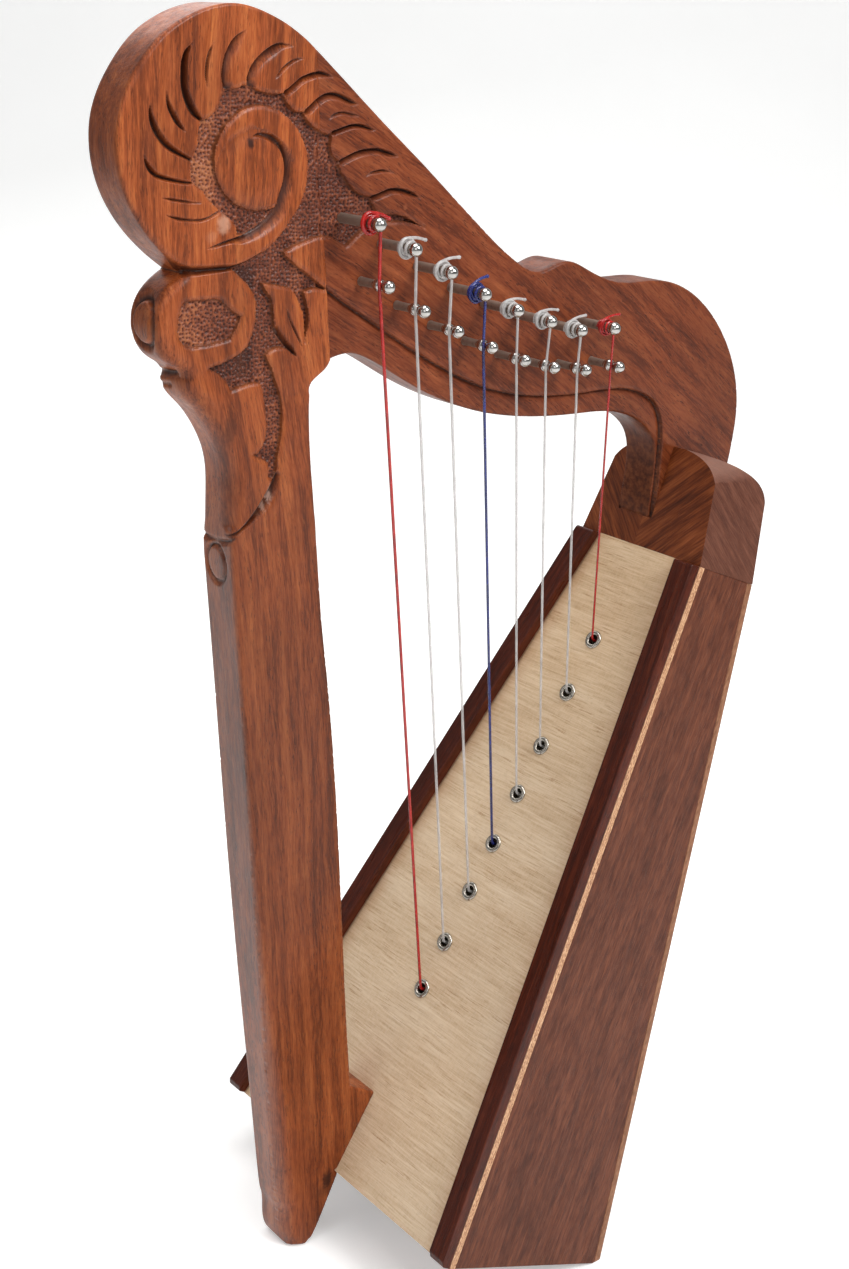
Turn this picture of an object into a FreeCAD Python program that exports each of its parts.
# Small eight-string table harp, carved hardwood frame on a tapered soundbox.
# Units are millimetres. +Z is up, +X runs from the pillar to the shoulder block
# and y = 0 is the plane of the string holes. "Near" is -Y, the side where the
# strings meet the pins; "far" is +Y. The harp stands on the pillar's toe and on
# the soundbox's rear lower edge. The origin is on the ground, on that edge's flat.
import FreeCAD, Part
import math
import os

Vector = FreeCAD.Vector
Y_AXIS = Vector(0, 1, 0)

# ---------------------------------------------------------------- dimensions
# All outlines are (x, z) points from a datum on the ground between the toe and
# the rear edge; keep() moves each finished piece from that datum to the origin.
REST_X = 43.7             # datum to origin
CUT_Y = 120.0             # half width of slabs that are trimmed later
OVERCUT = 5.0             # how far cutting tools start outside a face

# Neck and pillar
NECK_THICK = 17.5
NECK_NEAR_Y = -1.4
NECK_FAR_Y = NECK_NEAR_Y + NECK_THICK
NECK_MID_Y = NECK_NEAR_Y + NECK_THICK / 2.0
NECK_STEP = 1.6           # depth of the lower band of the neck

# Soundboard frame: "along" is measured up the board from string 1's hole,
# "height" square to the board, positive on the string side
BOARD_ANGLE = 58.2        # slope above the ground, degrees
BOARD_COS = math.cos(math.radians(BOARD_ANGLE))
BOARD_SIN = math.sin(math.radians(BOARD_ANGLE))
BOARD_ORIGIN = (13.7, 92.8)
BOARD_NORMAL = Vector(-BOARD_SIN, 0, BOARD_COS)
BOARD_THICK = 2.6
BOARD_LOW, BOARD_HIGH = -76.8, 190.8    # ends of the edge rails, along
BOX_LOW, BOX_HIGH = -76.84, 190.7       # ends of the soundbox, along

# Soundbox
SIDE_HALF = 57.9          # half width at string 1, on the board
SIDE_TAPER = 0.14         # narrowing per mm up the board
SIDE_FLARE = 0.12         # widening per mm behind the board
SIDE_THICK = 4.0
INNER_HALF = SIDE_HALF - SIDE_THICK * math.sqrt(1 + SIDE_TAPER ** 2 + SIDE_FLARE ** 2)
OPEN_HALF = 49.3          # half width of the open soundboard between the rails
OPEN_TAPER = 0.1465
RAIL_HEIGHT = 4.4
BACK_THICK = 3.0
BASE_THICK = 12.0
RIB_WIDTH, RIB_HEIGHT = 22.0, 4.0
RIB_LOW, RIB_HIGH = -61.0, 183.0
RIB_BOTTOM = -BOARD_THICK - RIB_HEIGHT  # height of the rib's lower face
LINING = 6.0
LINING_LOW, LINING_HIGH = -62.5, 185.0
FLAT_FRONT = (41.2, 0.0)  # flat that rests on the ground
FLAT_REAR = (45.2, 0.0)
BACK_TOP = (143.0, 243.6)
SOUND_HOLES = ((62.0, 24.0), (128.0, 19.0), (186.0, 14.0))  # up the back, radius

# Joints
DOWEL_R = 3.0
GLUE_DOWEL_LEN = 24.0
GLUE_DOWEL_XZ = ((-53.0, 351.5), (-57.0, 409.0))
BLOCK_DOWEL_LEN, BLOCK_DOWEL_DEPTH = 22.0, 7.0
BLOCK_DOWEL_PLACES = (9.0, 23.0)        # along the slot floor from its front
SCREW_ALONG, SCREW_Y = -55.0, 5.0
SCREW_R = 1.75
SCREW_REACH = 16.0        # length beyond the top of the soundboard
SCREW_TIP_R, SCREW_TIP_LEN = 0.3, 1.5
SCREW_HEAD_R, SCREW_HEAD_LEN = 3.5, 2.2
SCREW_RECESS_R, SCREW_RECESS_LEN = 1.2, 1.2

# Strings 1 to 8, long to short
EYELET_ALONG = (0.0, 19.90, 41.68, 62.14, 83.48, 104.12, 127.25, 150.0)
BRIDGE_XZ = ((-28.2, 364.7), (-13.4, 356.3), (1.1, 348.9), (16.3, 342.6),
             (31.6, 337.0), (45.6, 333.4), (60.9, 331.2), (77.5, 330.8))
TUNING_XZ = ((-35.2, 384.1), (-20.7, 376.1), (-5.7, 368.4), (9.1, 360.7),
             (23.9, 354.6), (39.4, 349.9), (54.2, 345.9), (70.3, 345.4))
STRING_R = (0.55, 0.50, 0.50, 0.50, 0.45, 0.45, 0.45, 0.40)
TAIL_DEG = (-12.0, -3.0, 10.0, 22.0, 0.0, 2.0, 13.0, 11.0)  # slope of the cut end
TAIL_LEN = (7.5, 8.0, 8.0, 6.7, 7.8, 8.0, 7.6, 8.0)

EYELET_HOLE_R = 2.5
EYELET_BORE_R = 1.7
EYELET_FLANGE_R = 3.5
BEAD_R, BEAD_LEN, BEAD_FILLET = 2.4, 3.0, 0.7
BEAD_CLEAR = 0.02         # radial clearance round the string
KNOT_EXTRA = 0.55         # knot radius beyond the string's
KNOT_GAP = 0.6
STRING_BEND_HEIGHT = 1.3  # bend above the eyelet

BRIDGE_PIN_R = 1.5
BRIDGE_BALL_R = 2.15
BRIDGE_BALL_Y = -15.3
BRIDGE_COLLAR_Y = -10.6
BRIDGE_SHAFT_Y = -11.0    # near end of the shaft
BRIDGE_DEPTH = 12.0       # length held in the neck
GROOVE_Y, GROOVE_R = -12.9, 1.15
GROOVE_GAP = 0.05

TUNE_SHAFT_R = 1.6        # string end of a tuning pin
TUNE_BODY_R = 2.5         # part that turns in the neck
TUNE_BODY_PROUD = 0.3     # body beyond each face of the neck
TUNE_CLEAR = 0.05         # radial running clearance in the neck
TUNE_BALL_R = 2.2
TUNE_BALL_Y = -18.5
TUNE_EYE_Y, TUNE_EYE_R, TUNE_EYE_LEN = -14.1, 0.62, 8.0  # cross hole in the shaft
DRIVE_SQUARE = 3.4        # square end for the tuning key
DRIVE_LEN = 12.5
DRIVE_TAPER = 0.25        # taken off the half width at the tip
WRAP_Y = -16.3            # plane of the string's own turn on its pin
WRAP_GAP = 0.04
WRAP_SWEEP = 250.0        # degrees
COIL_Y0, COIL_Y1 = -15.1, -11.8
COIL_RIDGE_R = (2.95, 3.35, 3.25, 2.75)  # one per turn, from COIL_Y0
TAIL_R = 2.75             # tail's outer offset from the pin axis
TAIL_RISE = 0.10          # +Y slope of the tail
TAIL_TIP_EXTRA = 0.12


# ------------------------------------------------------------------- helpers
def board_xz(along, height):
    """Point (x, z) of a place in the soundboard frame."""
    return (BOARD_ORIGIN[0] + along * BOARD_COS - height * BOARD_SIN,
            BOARD_ORIGIN[1] + along * BOARD_SIN + height * BOARD_COS)


def in_space(point, y=0.0):
    return Vector(point[0], y, point[1])


def on_board(along, y, height):
    return in_space(board_xz(along, height), y)


def direction(start, end):
    """Unit vector between two (x, z) points."""
    return Vector(end[0] - start[0], 0, end[1] - start[1]).normalize()


def square_to(vector):
    """Vector in the XZ plane, a quarter turn from +X towards +Z."""
    return Vector(-vector.z, 0, vector.x)


def moved(point, vector, distance):
    return (point[0] + vector.x * distance, point[1] + vector.z * distance)


def prism(segments, y0, y1):
    """Extrude a closed outline of ("line", points) and ("curve", points) runs."""
    edges = []
    for kind, points in segments:
        vectors = [in_space(point, y0) for point in points]
        if kind == "curve":
            spline = Part.BSplineCurve()
            spline.interpolate(vectors)
            edges.append(spline.toShape())
        else:
            edges += [Part.makeLine(a, b) for a, b in zip(vectors, vectors[1:])]
    return Part.Face(Part.Wire(edges)).extrude(Vector(0, y1 - y0, 0))


def poly(points, y0=-CUT_Y, y1=CUT_Y):
    return prism([("line", points + [points[0]])], y0, y1)


def board_poly(points, half_width=CUT_Y):
    """Straight-sided prism from (along, height) points."""
    return poly([board_xz(*point) for point in points], -half_width, half_width)


def faceted(loops):
    """Solid bounded by flat faces, each given by its corners."""
    faces = [Part.Face(Part.makePolygon(loop + [loop[0]])) for loop in loops]
    solid = Part.Solid(Part.Shell(faces))
    if solid.Volume < 0:
        solid.reverse()
    return solid


def wedge(half_width, taper=SIDE_TAPER, flare=SIDE_FLARE):
    """Solid between the planes |y| = half_width - taper*along - flare*height."""
    near, far = [], []
    for along, height in ((-200, -160), (330, -160), (330, 60), (-200, 60)):
        width = half_width - taper * along - flare * height
        near.append(on_board(along, -width, height))
        far.append(on_board(along, width, height))
    loops = [near, far]
    for i in range(4):
        j = (i + 1) % 4
        loops.append([near[i], near[j], far[j], far[i]])
    return faceted(loops)


def rod(start, axis, radius, length):
    return Part.makeCylinder(radius, length, start, axis)


def rod_y(x, z, y0, y1, radius):
    return rod(Vector(x, y0, z), Y_AXIS, radius, y1 - y0)


def turned(profile, axis):
    """Revolve a closed profile round an axis through the datum."""
    return Part.Face(Part.makePolygon(profile)).revolve(Vector(0, 0, 0), axis, 360).Solids[0]


def keep(name, shape):
    """Move a piece to the origin and write its STEP file."""
    solids = shape.Solids
    piece = solids[0].copy() if len(solids) == 1 else Part.makeCompound(solids)
    piece.translate(Vector(-REST_X, 0, 0))
    piece.exportStep("parts/%s.step" % name)


def keep_halves(name, shape):
    """Write the -Y half as left and the +Y half as right."""
    for side, y0 in (("left", -200), ("right", 0)):
        box = Part.makeBox(600, 200, 700, Vector(-300, y0, -50))
        keep("%s_%s" % (name, side), shape.common(box))


# -------------------------------------------------------------- outlines (x, z)
BOTTOM_FRONT = board_xz(BOX_LOW, 0.0)
JOINT_FRONT = board_xz(BOX_HIGH, 0.0)   # front of the soundbox / shoulder block joint

# pillar / neck joint, upwards
GLUE_LINE = [(-39.3, 340.3), (-42.4, 373.1), (-47.2, 432.9)]

# pillar, from the top of the joint round by the outer side and the toe
HEAD = [
    (-47.2, 432.9), (-57.4, 439.3), (-65.7, 442.5), (-74.3, 444.2), (-84.0, 443.0),
    (-92.0, 439.9), (-99.0, 435.6), (-105.3, 429.2), (-110.6, 421.3), (-113.8, 412.6),
    (-114.3, 404.5), (-112.8, 396.0), (-109.2, 388.0), (-102.6, 379.4), (-96.6, 373.9),
    (-91.6, 370.0)]
LOBE = [
    (-91.6, 370.0), (-96.0, 367.3), (-99.6, 363.6), (-101.9, 358.6), (-102.2, 353.2),
    (-100.5, 348.2), (-97.0, 344.2), (-93.6, 342.0), (-91.9, 339.4)]
WAIST = [
    (-91.9, 339.4), (-92.0, 336.6), (-89.6, 332.2), (-86.4, 329.0), (-83.4, 325.4),
    (-80.2, 320.4), (-77.6, 314.8), (-76.1, 308.8), (-75.7, 300.3), (-75.8, 287.2),
    (-75.2, 274.8)]
PILLAR_OUTER = [
    (-75.2, 274.8), (-72.8, 247.9), (-68.0, 191.3), (-61.8, 125.0), (-57.2, 82.0),
    (-50.6, 21.0)]
TOE = [(-50.6, 21.0), (-49.3, 8.6), (-48.2, 3.4), (-46.0, 0.0)]
TOE_BACK = [(-46.0, 0.0), (-40.2, 0.0), (-37.0, 2.0), (-35.0, 5.4), (-25.2, 26.4)]
FOOT = [(-25.2, 26.4), BOTTOM_FRONT, board_xz(-43.3, 0.0), (-20.6, 63.2)]
PILLAR_INNER = [
    (-20.6, 63.2), (-22.2, 78.4), (-25.9, 120.9), (-29.5, 164.9), (-37.6, 237.9),
    (-39.9, 254.1), (-42.5, 279.4), (-44.9, 300.3), (-46.6, 318.5), (-46.9, 330.5)]
PILLAR_CAP = [(-46.9, 330.5), (-46.4, 334.0), (-43.6, 336.2), (-41.0, 338.0), (-39.3, 340.3)]

NECK_TOP = [
    (-47.2, 432.9), (-33.9, 422.5), (-19.9, 411.5), (-5.3, 400.5), (11.3, 387.4),
    (18.4, 381.9), (30.0, 373.0), (38.0, 367.8), (44.0, 364.7), (49.3, 363.6),
    (54.6, 364.7), (60.0, 366.3), (65.0, 366.2), (70.5, 364.2), (77.5, 361.2),
    (86.0, 358.5), (95.8, 357.4), (104.6, 357.5), (113.4, 357.0), (122.8, 354.6),
    (132.9, 349.6), (142.5, 342.2), (150.7, 333.2), (157.0, 323.2), (161.0, 313.0),
    (162.5, 304.0), (162.0, 292.0), (160.3, 281.3), (157.2, 270.5), (153.2, 261.0),
    (148.0, 252.3)]
NECK_LOW = [
    (117.9, 265.9), (118.5, 278.0), (118.6, 290.6), (116.6, 296.6), (113.4, 300.7),
    (107.9, 304.8), (101.2, 307.9), (94.3, 309.8), (85.1, 310.9), (75.2, 311.2),
    (59.1, 311.9), (43.5, 313.6), (28.2, 316.6), (13.4, 321.3), (-1.0, 327.6),
    (-14.8, 335.2), (-24.3, 340.1), (-30.7, 341.8), (-35.1, 341.4), (-39.3, 340.3)]
# upper edge of the neck's lower band
STEP_LINE = [
    (-60.0, 377.5), (-57.0, 374.5), (-49.0, 367.8), (-40.9, 362.9), (-31.4, 356.9),
    (-19.8, 350.0), (-4.8, 341.1), (10.9, 332.8), (26.0, 326.3), (41.2, 322.1),
    (56.8, 319.9), (72.7, 319.2), (85.8, 319.3), (97.5, 318.6), (108.2, 315.4),
    (113.3, 312.6), (116.6, 308.9), (118.8, 304.4), (120.0, 298.8), (120.3, 292.0),
    (120.2, 281.7), (119.6, 266.0)]
# ends of the floor of the neck's slot in the shoulder block
SLOT_FRONT = NECK_LOW[0]
SLOT_REAR = NECK_TOP[-1]

BLOCK_SIDE = [
    ("line", [JOINT_FRONT, (127.0, 293.4)]),
    ("curve", [(127.0, 293.4), (134.0, 290.9), (142.0, 286.9), (148.2, 281.8),
               (150.8, 278.0), (151.6, 273.8)]),
    ("line", [(151.6, 273.8), BACK_TOP, JOINT_FRONT])]
# half of the shoulder block's rounded top, (y, z), from the side to the middle
BLOCK_TOP = [
    (28.4, 277.0), (27.75, 280.0), (26.9, 282.6), (25.3, 285.4), (22.8, 288.1),
    (18.7, 290.7), (11.7, 292.8), (5.4, 293.6), (0.0, 293.8)]
BLOCK_LEAN = 0.182        # the sides lean in this much per mm of height
BLOCK_LOW_Z = 235.0       # bottom of the trimming shape
BLOCK_X0, BLOCK_LENGTH = 100.0, 70.0    # its start and extent in x

os.makedirs("parts", exist_ok=True)

# --------------------------------------------------- shared holes and dowels
tune_holes = [rod_y(x, z, NECK_NEAR_Y - OVERCUT, NECK_FAR_Y + OVERCUT, TUNE_BODY_R + TUNE_CLEAR)
              for x, z in TUNING_XZ]
bridge_holes = [rod_y(x, z, NECK_NEAR_Y - OVERCUT, NECK_NEAR_Y + BRIDGE_DEPTH, BRIDGE_PIN_R)
                for x, z in BRIDGE_XZ]
eyelet_holes = [rod(on_board(along, 0, 10), BOARD_NORMAL * -1, EYELET_HOLE_R, 30)
                for along in EYELET_ALONG]
glue_dowels = [rod(in_space(point, NECK_MID_Y), Vector(1, 0, 0), DOWEL_R, GLUE_DOWEL_LEN)
               for point in GLUE_DOWEL_XZ]
slot_dir = direction(SLOT_FRONT, SLOT_REAR)
slot_up = square_to(slot_dir)
block_dowels = []
for place in BLOCK_DOWEL_PLACES:
    start = moved(moved(SLOT_FRONT, slot_dir, place), slot_up, -BLOCK_DOWEL_DEPTH)
    block_dowels.append(rod(in_space(start, NECK_MID_Y), slot_up, DOWEL_R, BLOCK_DOWEL_LEN))
screw_base = on_board(SCREW_ALONG, SCREW_Y, RIB_BOTTOM)
screw_hole = rod(screw_base - BOARD_NORMAL * 4, BOARD_NORMAL, SCREW_R,
                 4 - RIB_BOTTOM + SCREW_REACH)

# --------------------------------------------------------------------- pillar
pillar = prism([("curve", HEAD), ("curve", LOBE), ("curve", WAIST), ("curve", PILLAR_OUTER),
                ("curve", TOE), ("line", TOE_BACK), ("line", FOOT), ("curve", PILLAR_INNER),
                ("curve", PILLAR_CAP), ("line", GLUE_LINE)], NECK_NEAR_Y, NECK_FAR_Y)
# bevel that grows down the near outer corner towards the toe
apex = Vector(-64.0, NECK_NEAR_Y, 130.0)
on_face = Vector(-44.4, NECK_NEAR_Y, -0.5)
corner = Vector(-66.0, NECK_NEAR_Y, -0.5)
on_side = Vector(-66.0, NECK_NEAR_Y + 9.6, -0.5)
pillar = pillar.cut(faceted([[apex, on_face, corner], [apex, corner, on_side],
                             [apex, on_side, on_face], [on_face, on_side, corner]]))
keep("pillar", pillar.cut(Part.makeCompound(glue_dowels + [screw_hole])))

# ----------------------------------------------------------------------- neck
neck = prism([("curve", NECK_TOP), ("line", [SLOT_REAR, SLOT_FRONT]), ("curve", NECK_LOW),
              ("line", GLUE_LINE)], NECK_NEAR_Y, NECK_FAR_Y)
# the band below STEP_LINE is sunk into the near face
band = prism([("curve", STEP_LINE),
              ("line", [STEP_LINE[-1], (100.0, 266.0), (-60.0, 300.0), STEP_LINE[0]])],
             NECK_NEAR_Y - 1.0, NECK_NEAR_Y + NECK_STEP)
neck = neck.cut(band)
keep("neck", neck.cut(Part.makeCompound(tune_holes + bridge_holes + glue_dowels + block_dowels)))

# ------------------------------------------------------------- shoulder block
outer = wedge(SIDE_HALF)
inner = wedge(INNER_HALF)
block = prism(BLOCK_SIDE, -40, 40).common(outer)
crown = ([Vector(BLOCK_X0, y, z) for y, z in BLOCK_TOP]
         + [Vector(BLOCK_X0, -y, z) for y, z in BLOCK_TOP[-2::-1]])
crown_curve = Part.BSplineCurve()
crown_curve.interpolate(Points=crown, InitialTangent=Vector(0, -BLOCK_LEAN, 1),
                        FinalTangent=Vector(0, -BLOCK_LEAN, -1))
low_y = BLOCK_TOP[0][0] + BLOCK_LEAN * (BLOCK_TOP[0][1] - BLOCK_LOW_Z)
low_near = Vector(BLOCK_X0, -low_y, BLOCK_LOW_Z)
low_far = Vector(BLOCK_X0, low_y, BLOCK_LOW_Z)
crown_wire = Part.Wire([crown_curve.toShape(), Part.makeLine(crown[-1], low_near),
                        Part.makeLine(low_near, low_far), Part.makeLine(low_far, crown[0])])
block = block.common(Part.Face(crown_wire).extrude(Vector(BLOCK_LENGTH, 0, 0)))
slot = poly([SLOT_FRONT, (100.0, SLOT_FRONT[1] + 8.1), (100.0, 320.0), (175.0, 320.0),
             (175.0, SLOT_REAR[1] - 12.2), SLOT_REAR], NECK_NEAR_Y, NECK_FAR_Y)
keep("shoulder_block", block.cut(slot).cut(Part.makeCompound(block_dowels)))

# ----------------------------------------------------- soundbox trimming shapes
box = poly([BOTTOM_FRONT, FLAT_FRONT, FLAT_REAR, BACK_TOP, JOINT_FRONT])
board_slab = board_poly([(BOARD_LOW - 5, 0.5), (BOARD_LOW - 5, -BOARD_THICK),
                         (BOARD_HIGH + 5, -BOARD_THICK), (BOARD_HIGH + 5, 0.5)])
back_dir = direction(FLAT_REAR, BACK_TOP)
back_in = square_to(back_dir)           # towards the strings
back_low = moved(FLAT_REAR, back_dir, -20)
back_high = moved(BACK_TOP, back_dir, 20)
back_slab = poly([back_low, back_high, moved(back_high, back_in, BACK_THICK),
                  moved(back_low, back_in, BACK_THICK)])
ring = box.cut(board_slab).cut(back_slab)

# everything below the soundbox / shoulder block joint
joint_dir = direction(JOINT_FRONT, BACK_TOP)
joint_0 = moved(JOINT_FRONT, joint_dir, -60)
joint_1 = moved(JOINT_FRONT, joint_dir, 120)
below_joint = poly([joint_0, joint_1, (joint_1[0], -20.0), (joint_0[0] - 100, -20.0),
                    (joint_0[0] - 100, joint_0[1])])

# everything below the top of the base block
base_dir = direction(BOTTOM_FRONT, FLAT_FRONT)
base_up = square_to(base_dir)
base_0 = moved(moved(BOTTOM_FRONT, base_dir, -30), base_up, BASE_THICK)
base_1 = moved(moved(FLAT_FRONT, base_dir, 40), base_up, BASE_THICK)
base_cut = poly([base_0, base_1, (base_1[0], -40.0), (base_0[0], -40.0)])

# ------------------------------------------------------------ soundbox pieces
board = box.common(board_slab).common(outer)
keep("soundboard", board.cut(Part.makeCompound(eyelet_holes + [screw_hole])))

keep_halves("side_panel", ring.common(outer).cut(inner))

back = box.common(back_slab).cut(board_slab).common(outer)
sound_holes = []
for distance, radius in SOUND_HOLES:
    start = moved(moved(FLAT_REAR, back_dir, distance), back_in, -OVERCUT)
    sound_holes.append(rod(in_space(start), back_in, radius, 20))
keep("back_panel", back.cut(Part.makeCompound(sound_holes)))

# closes the lower end, its top parallel to the bottom edge
keep("base_block", ring.common(inner).common(base_cut))

# edge rails on top of the board, chamfered at both ends
rail_slab = board_poly([
    (BOARD_LOW, 0), (BOARD_HIGH, 0), (BOARD_HIGH, RAIL_HEIGHT - 0.9),
    (BOARD_HIGH - 1.6, RAIL_HEIGHT), (BOARD_LOW + 2.0, RAIL_HEIGHT),
    (BOARD_LOW, RAIL_HEIGHT - 1.6)])
open_board = wedge(OPEN_HALF, taper=OPEN_TAPER, flare=0.0)
keep_halves("edge_rail", rail_slab.common(outer).common(below_joint).cut(open_board))

# string rib, glued under the board on the centre line
rib = board_poly([(RIB_LOW, -BOARD_THICK), (RIB_HIGH, -BOARD_THICK),
                  (RIB_HIGH, RIB_BOTTOM), (RIB_LOW, RIB_BOTTOM)], RIB_WIDTH / 2)
keep("string_rib", rib.cut(Part.makeCompound(eyelet_holes + [screw_hole])))

# linings that back the glue joint of board and sides
lining_slab = board_poly([(LINING_LOW, -BOARD_THICK), (LINING_HIGH, -BOARD_THICK),
                          (LINING_HIGH, -BOARD_THICK - LINING),
                          (LINING_LOW, -BOARD_THICK - LINING)])
between_linings = wedge(INNER_HALF - LINING)
keep("side_linings", lining_slab.common(inner).cut(between_linings).cut(base_cut))

# ---------------------------------------------------------- eyelets and beads
# (radius, height) with the flange resting on the board
EYELET_PROFILE = [
    (EYELET_BORE_R, RIB_BOTTOM), (EYELET_HOLE_R, RIB_BOTTOM), (EYELET_HOLE_R, 0),
    (EYELET_FLANGE_R, 0), (EYELET_FLANGE_R, 0.25), (EYELET_FLANGE_R - 0.3, 0.65),
    (EYELET_FLANGE_R - 0.9, 0.85), (EYELET_BORE_R + 0.35, 0.7), (EYELET_BORE_R, 0.3),
    (EYELET_BORE_R, RIB_BOTTOM)]
eyelets, beads = [], []
for along, string_r in zip(EYELET_ALONG, STRING_R):
    eyelet = turned([in_space(point) for point in EYELET_PROFILE], Vector(0, 0, 1))
    eyelet.rotate(Vector(0, 0, 0), Y_AXIS, -BOARD_ANGLE)
    eyelet.translate(on_board(along, 0, 0))
    eyelets.append(eyelet)
    bead = rod(on_board(along, 0, RIB_BOTTOM), BOARD_NORMAL * -1, BEAD_R, BEAD_LEN)
    bead = bead.makeFillet(BEAD_FILLET, bead.Edges)
    beads.append(bead.cut(rod(on_board(along, 0, 5), BOARD_NORMAL * -1,
                              string_r + BEAD_CLEAR, 30)))
keep("string_eyelets", Part.makeCompound(eyelets))
keep("string_anchor_beads", Part.makeCompound(beads))

# ---------------------------------------------------------- screw and dowels
shank_len = -RIB_BOTTOM + SCREW_REACH - SCREW_TIP_LEN
head = rod(screw_base - BOARD_NORMAL * SCREW_HEAD_LEN, BOARD_NORMAL, SCREW_HEAD_R, SCREW_HEAD_LEN)
head = head.cut(rod(screw_base - BOARD_NORMAL * (SCREW_HEAD_LEN + 0.1), BOARD_NORMAL,
                    SCREW_RECESS_R, SCREW_RECESS_LEN))
screw = head.fuse(rod(screw_base, BOARD_NORMAL, SCREW_R, shank_len))
tip = Part.makeCone(SCREW_R, SCREW_TIP_R, SCREW_TIP_LEN,
                    screw_base + BOARD_NORMAL * shank_len, BOARD_NORMAL)
keep("pillar_foot_screw", screw.fuse(tip).removeSplitter())
keep("pillar_neck_dowels", Part.makeCompound(glue_dowels))
keep("neck_block_dowels", Part.makeCompound(block_dowels))

# ---------------------------------------------------------------- bridge pins
bridge_pins = []
for x, z in BRIDGE_XZ:
    shaft = rod_y(x, z, BRIDGE_SHAFT_Y, NECK_NEAR_Y + BRIDGE_DEPTH, BRIDGE_PIN_R)
    ball = Part.makeSphere(BRIDGE_BALL_R, Vector(x, BRIDGE_BALL_Y, z))
    collar = Part.makeSphere(BRIDGE_BALL_R, Vector(x, BRIDGE_COLLAR_Y, z))
    groove = rod_y(x, z, BRIDGE_BALL_Y, BRIDGE_SHAFT_Y, GROOVE_R)
    bridge_pins.append(shaft.fuse([ball, collar, groove]).removeSplitter().Solids[0])
keep("bridge_pins", Part.makeCompound(bridge_pins))


# --------------------------------------------- tuning pins, coils and strings
def square(x, y, z, half):
    return Part.makePolygon([Vector(x + dx * half, y, z + dz * half) for dx, dz in
                             ((-1, -1), (1, -1), (1, 1), (-1, 1), (-1, -1))])


def tuning_pin(x, z, tail_angle):
    body_y0 = NECK_NEAR_Y - TUNE_BODY_PROUD
    body_y1 = NECK_FAR_Y + TUNE_BODY_PROUD
    ball = Part.makeSphere(TUNE_BALL_R, Vector(x, TUNE_BALL_Y, z))
    shaft = rod_y(x, z, TUNE_BALL_Y, body_y0, TUNE_SHAFT_R)
    body = rod_y(x, z, body_y0, body_y1, TUNE_BODY_R)
    half = DRIVE_SQUARE / 2.0
    drive = Part.makeLoft([square(x, body_y1, z, half),
                           square(x, body_y1 + DRIVE_LEN, z, half - DRIVE_TAPER)], True, True)
    pin = ball.fuse([shaft, body, drive]).removeSplitter()
    across = Vector(math.cos(tail_angle), 0, math.sin(tail_angle))
    eye_start = Vector(x, TUNE_EYE_Y, z) - across * (TUNE_EYE_LEN / 2)
    return pin.cut(rod(eye_start, across, TUNE_EYE_R, TUNE_EYE_LEN))


def string_coil(x, z, string_r, tail_angle, tail_len):
    """Wound turns as one ridged sleeve, with the string's cut end standing out."""
    pitch = (COIL_Y1 - COIL_Y0) / len(COIL_RIDGE_R)
    points = [(TUNE_SHAFT_R, COIL_Y0)]
    for turn, ridge_r in enumerate(COIL_RIDGE_R):
        mid_y = COIL_Y0 + pitch * (turn + 0.5)
        points += [(ridge_r - 0.35, mid_y - pitch * 0.5), (ridge_r - 0.08, mid_y - pitch * 0.25),
                   (ridge_r, mid_y), (ridge_r - 0.08, mid_y + pitch * 0.25)]
    points += [(COIL_RIDGE_R[-1] - 0.4, COIL_Y1), (TUNE_SHAFT_R, COIL_Y1), points[0]]
    coil = turned([Vector(radius, y, 0) for radius, y in points], Y_AXIS)
    coil.translate(Vector(x, 0, z))
    up = Vector(-math.sin(tail_angle), 0, math.cos(tail_angle))
    tail_dir = Vector(math.cos(tail_angle), TAIL_RISE, math.sin(tail_angle)).normalize()
    start = Vector(x, TUNE_EYE_Y, z) + up * (TAIL_R - string_r * 0.5)
    tail = rod(start, tail_dir, string_r, tail_len)
    end_ball = Part.makeSphere(string_r + TAIL_TIP_EXTRA, start + tail_dir * tail_len)
    return coil.fuse([tail, end_ball]).removeSplitter()


def string(along, bridge, tuning, string_r):
    """Knot, straight runs by eyelet and bridge pin, and a part turn on the tuning pin."""
    wrap_r = TUNE_SHAFT_R + string_r + WRAP_GAP
    points = [
        on_board(along, 0, RIB_BOTTOM - BEAD_LEN - string_r - KNOT_GAP),
        on_board(along, 0, STRING_BEND_HEIGHT),
        Vector(bridge[0] - GROOVE_R - string_r - GROOVE_GAP, GROOVE_Y, bridge[1]),
        Vector(tuning[0] + wrap_r, WRAP_Y, tuning[1])]
    runs = [rod(a, b - a, string_r, (b - a).Length) for a, b in zip(points, points[1:])]
    shape = runs[0].fuse(runs[1]).fuse(runs[2])
    shape = shape.fuse([Part.makeSphere(string_r, point) for point in points[1:]])
    wrap = Part.makeTorus(wrap_r, string_r, Vector(0, 0, 0), Vector(0, 0, 1),
                          -180, 180, WRAP_SWEEP)
    wrap.rotate(Vector(0, 0, 0), Vector(1, 0, 0), 90)   # now turns about Y, from +X
    wrap.translate(in_space(tuning, WRAP_Y))
    return shape.fuse([wrap, Part.makeSphere(string_r + KNOT_EXTRA, points[0])])


for i, (x, z) in enumerate(TUNING_XZ):
    number = i + 1
    tail_angle = math.radians(TAIL_DEG[i])
    keep("tuning_pin_%d" % number, tuning_pin(x, z, tail_angle))
    keep("string_coil_%d" % number, string_coil(x, z, STRING_R[i], tail_angle, TAIL_LEN[i]))
    keep("string_%d" % number, string(EYELET_ALONG[i], BRIDGE_XZ[i], (x, z), STRING_R[i]))
